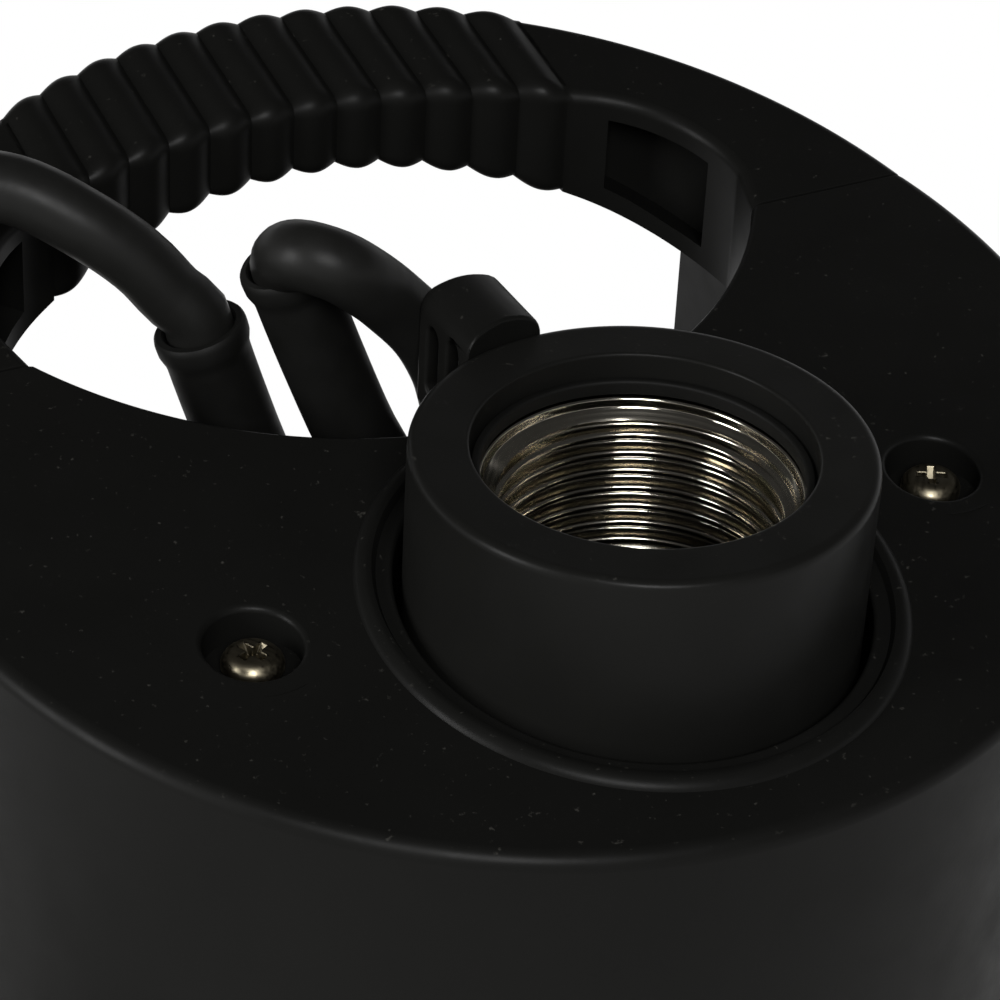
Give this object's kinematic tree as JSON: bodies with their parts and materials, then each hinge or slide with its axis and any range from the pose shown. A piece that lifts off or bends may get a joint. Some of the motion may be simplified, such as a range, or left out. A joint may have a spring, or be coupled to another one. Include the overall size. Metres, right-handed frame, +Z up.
{
  "type": "submersible sump pump",
  "caption": "Round submersible pump with a sloping top, ribbed carrying handle, threaded top outlet, strainer base, float switch and coiled mains cord.",
  "frame": {"origin": "centre of the round plan, on the ground under the feet", "axes": "+Z up, +Y towards the handle, +X to the right seen from the outlet"},
  "size_m": [0.33, 0.1973, 0.3288],
  "materials": {
    "black_plastic": "satin moulded",
    "rubber": "matte",
    "cord_rubber": "satin",
    "nickel": "bright nickel plate",
    "plated_steel": "yellow zinc plate",
    "stainless": "drawn",
    "brass": "turned",
    "cast_aluminium": "as cast",
    "ceramic": "lapped",
    "laminations": "varnished sheet stack",
    "copper": "enamelled wire",
    "white_plastic": "moulded",
    "orange_plastic": "moulded"
  },
  "bodies": {
    "pump": {"top_cover": "black_plastic", "handle": "black_plastic", "outlet_collar": "black_plastic", "cord_clip": "black_plastic", "casing": "black_plastic", "suction_base": "black_plastic", "base_plate": "black_plastic", "diffuser": "black_plastic", "threaded_insert": "nickel", "plug_pin_1": "nickel", "plug_pin_2": "nickel", "outlet_seal": "rubber", "riser_ring": "rubber", "main_cord_boot": "rubber", "float_cord_boot": "rubber", "coil_tie": "rubber", "mains_plug": "rubber", "foot_1": "rubber", "foot_2": "rubber", "foot_3": "rubber", "foot_4": "rubber", "main_cord_lead": "cord_rubber", "main_cord_coil": "cord_rubber", "main_cord_tail": "cord_rubber", "float_cord_upper": "cord_rubber", "cover_screw_left": "plated_steel", "cover_screw_right": "plated_steel", "handle_screw_left": "plated_steel", "handle_screw_right": "plated_steel", "base_screw_1": "plated_steel", "base_screw_2": "plated_steel", "base_screw_3": "plated_steel", "base_screw_4": "plated_steel", "wear_plate": "stainless", "motor_can": "stainless", "bearing_lower": "stainless", "bearing_upper": "stainless", "seal_carrier": "cast_aluminium", "motor_cap": "cast_aluminium", "bearing_bracket": "cast_aluminium", "seal_seat": "ceramic", "stator_core": "laminations", "winding_lower": "copper", "winding_upper": "copper", "capacitor": "white_plastic", "terminal_block": "white_plastic"},
    "rotor": {"shaft": "stainless", "rotor_core": "laminations", "impeller": "black_plastic", "impeller_nut": "brass", "seal_ring": "ceramic"},
    "float_switch": {"float_cord_drop": "cord_rubber", "float_shell_inner": "orange_plastic", "float_shell_outer": "orange_plastic"},
    "float_ball": {"float_ball": "stainless"}
  },
  "joints": [
    {"name": "rotor_spin", "type": "hinge", "parent": "pump", "child": "rotor", "pos_m": [0, 0, 0.11], "axis": [0, 0, 1], "continuous": true},
    {"name": "float_swing", "type": "hinge", "parent": "pump", "child": "float_switch", "pos_m": [0, 0.0798, 0.2484], "axis": [1, 0, 0], "range_deg": [0, 110]},
    {"name": "float_ball_roll", "type": "slide", "parent": "float_switch", "child": "float_ball", "axis": [0, -0.1908, 0.9816], "range_m": [0, 0.05]}
  ]
}
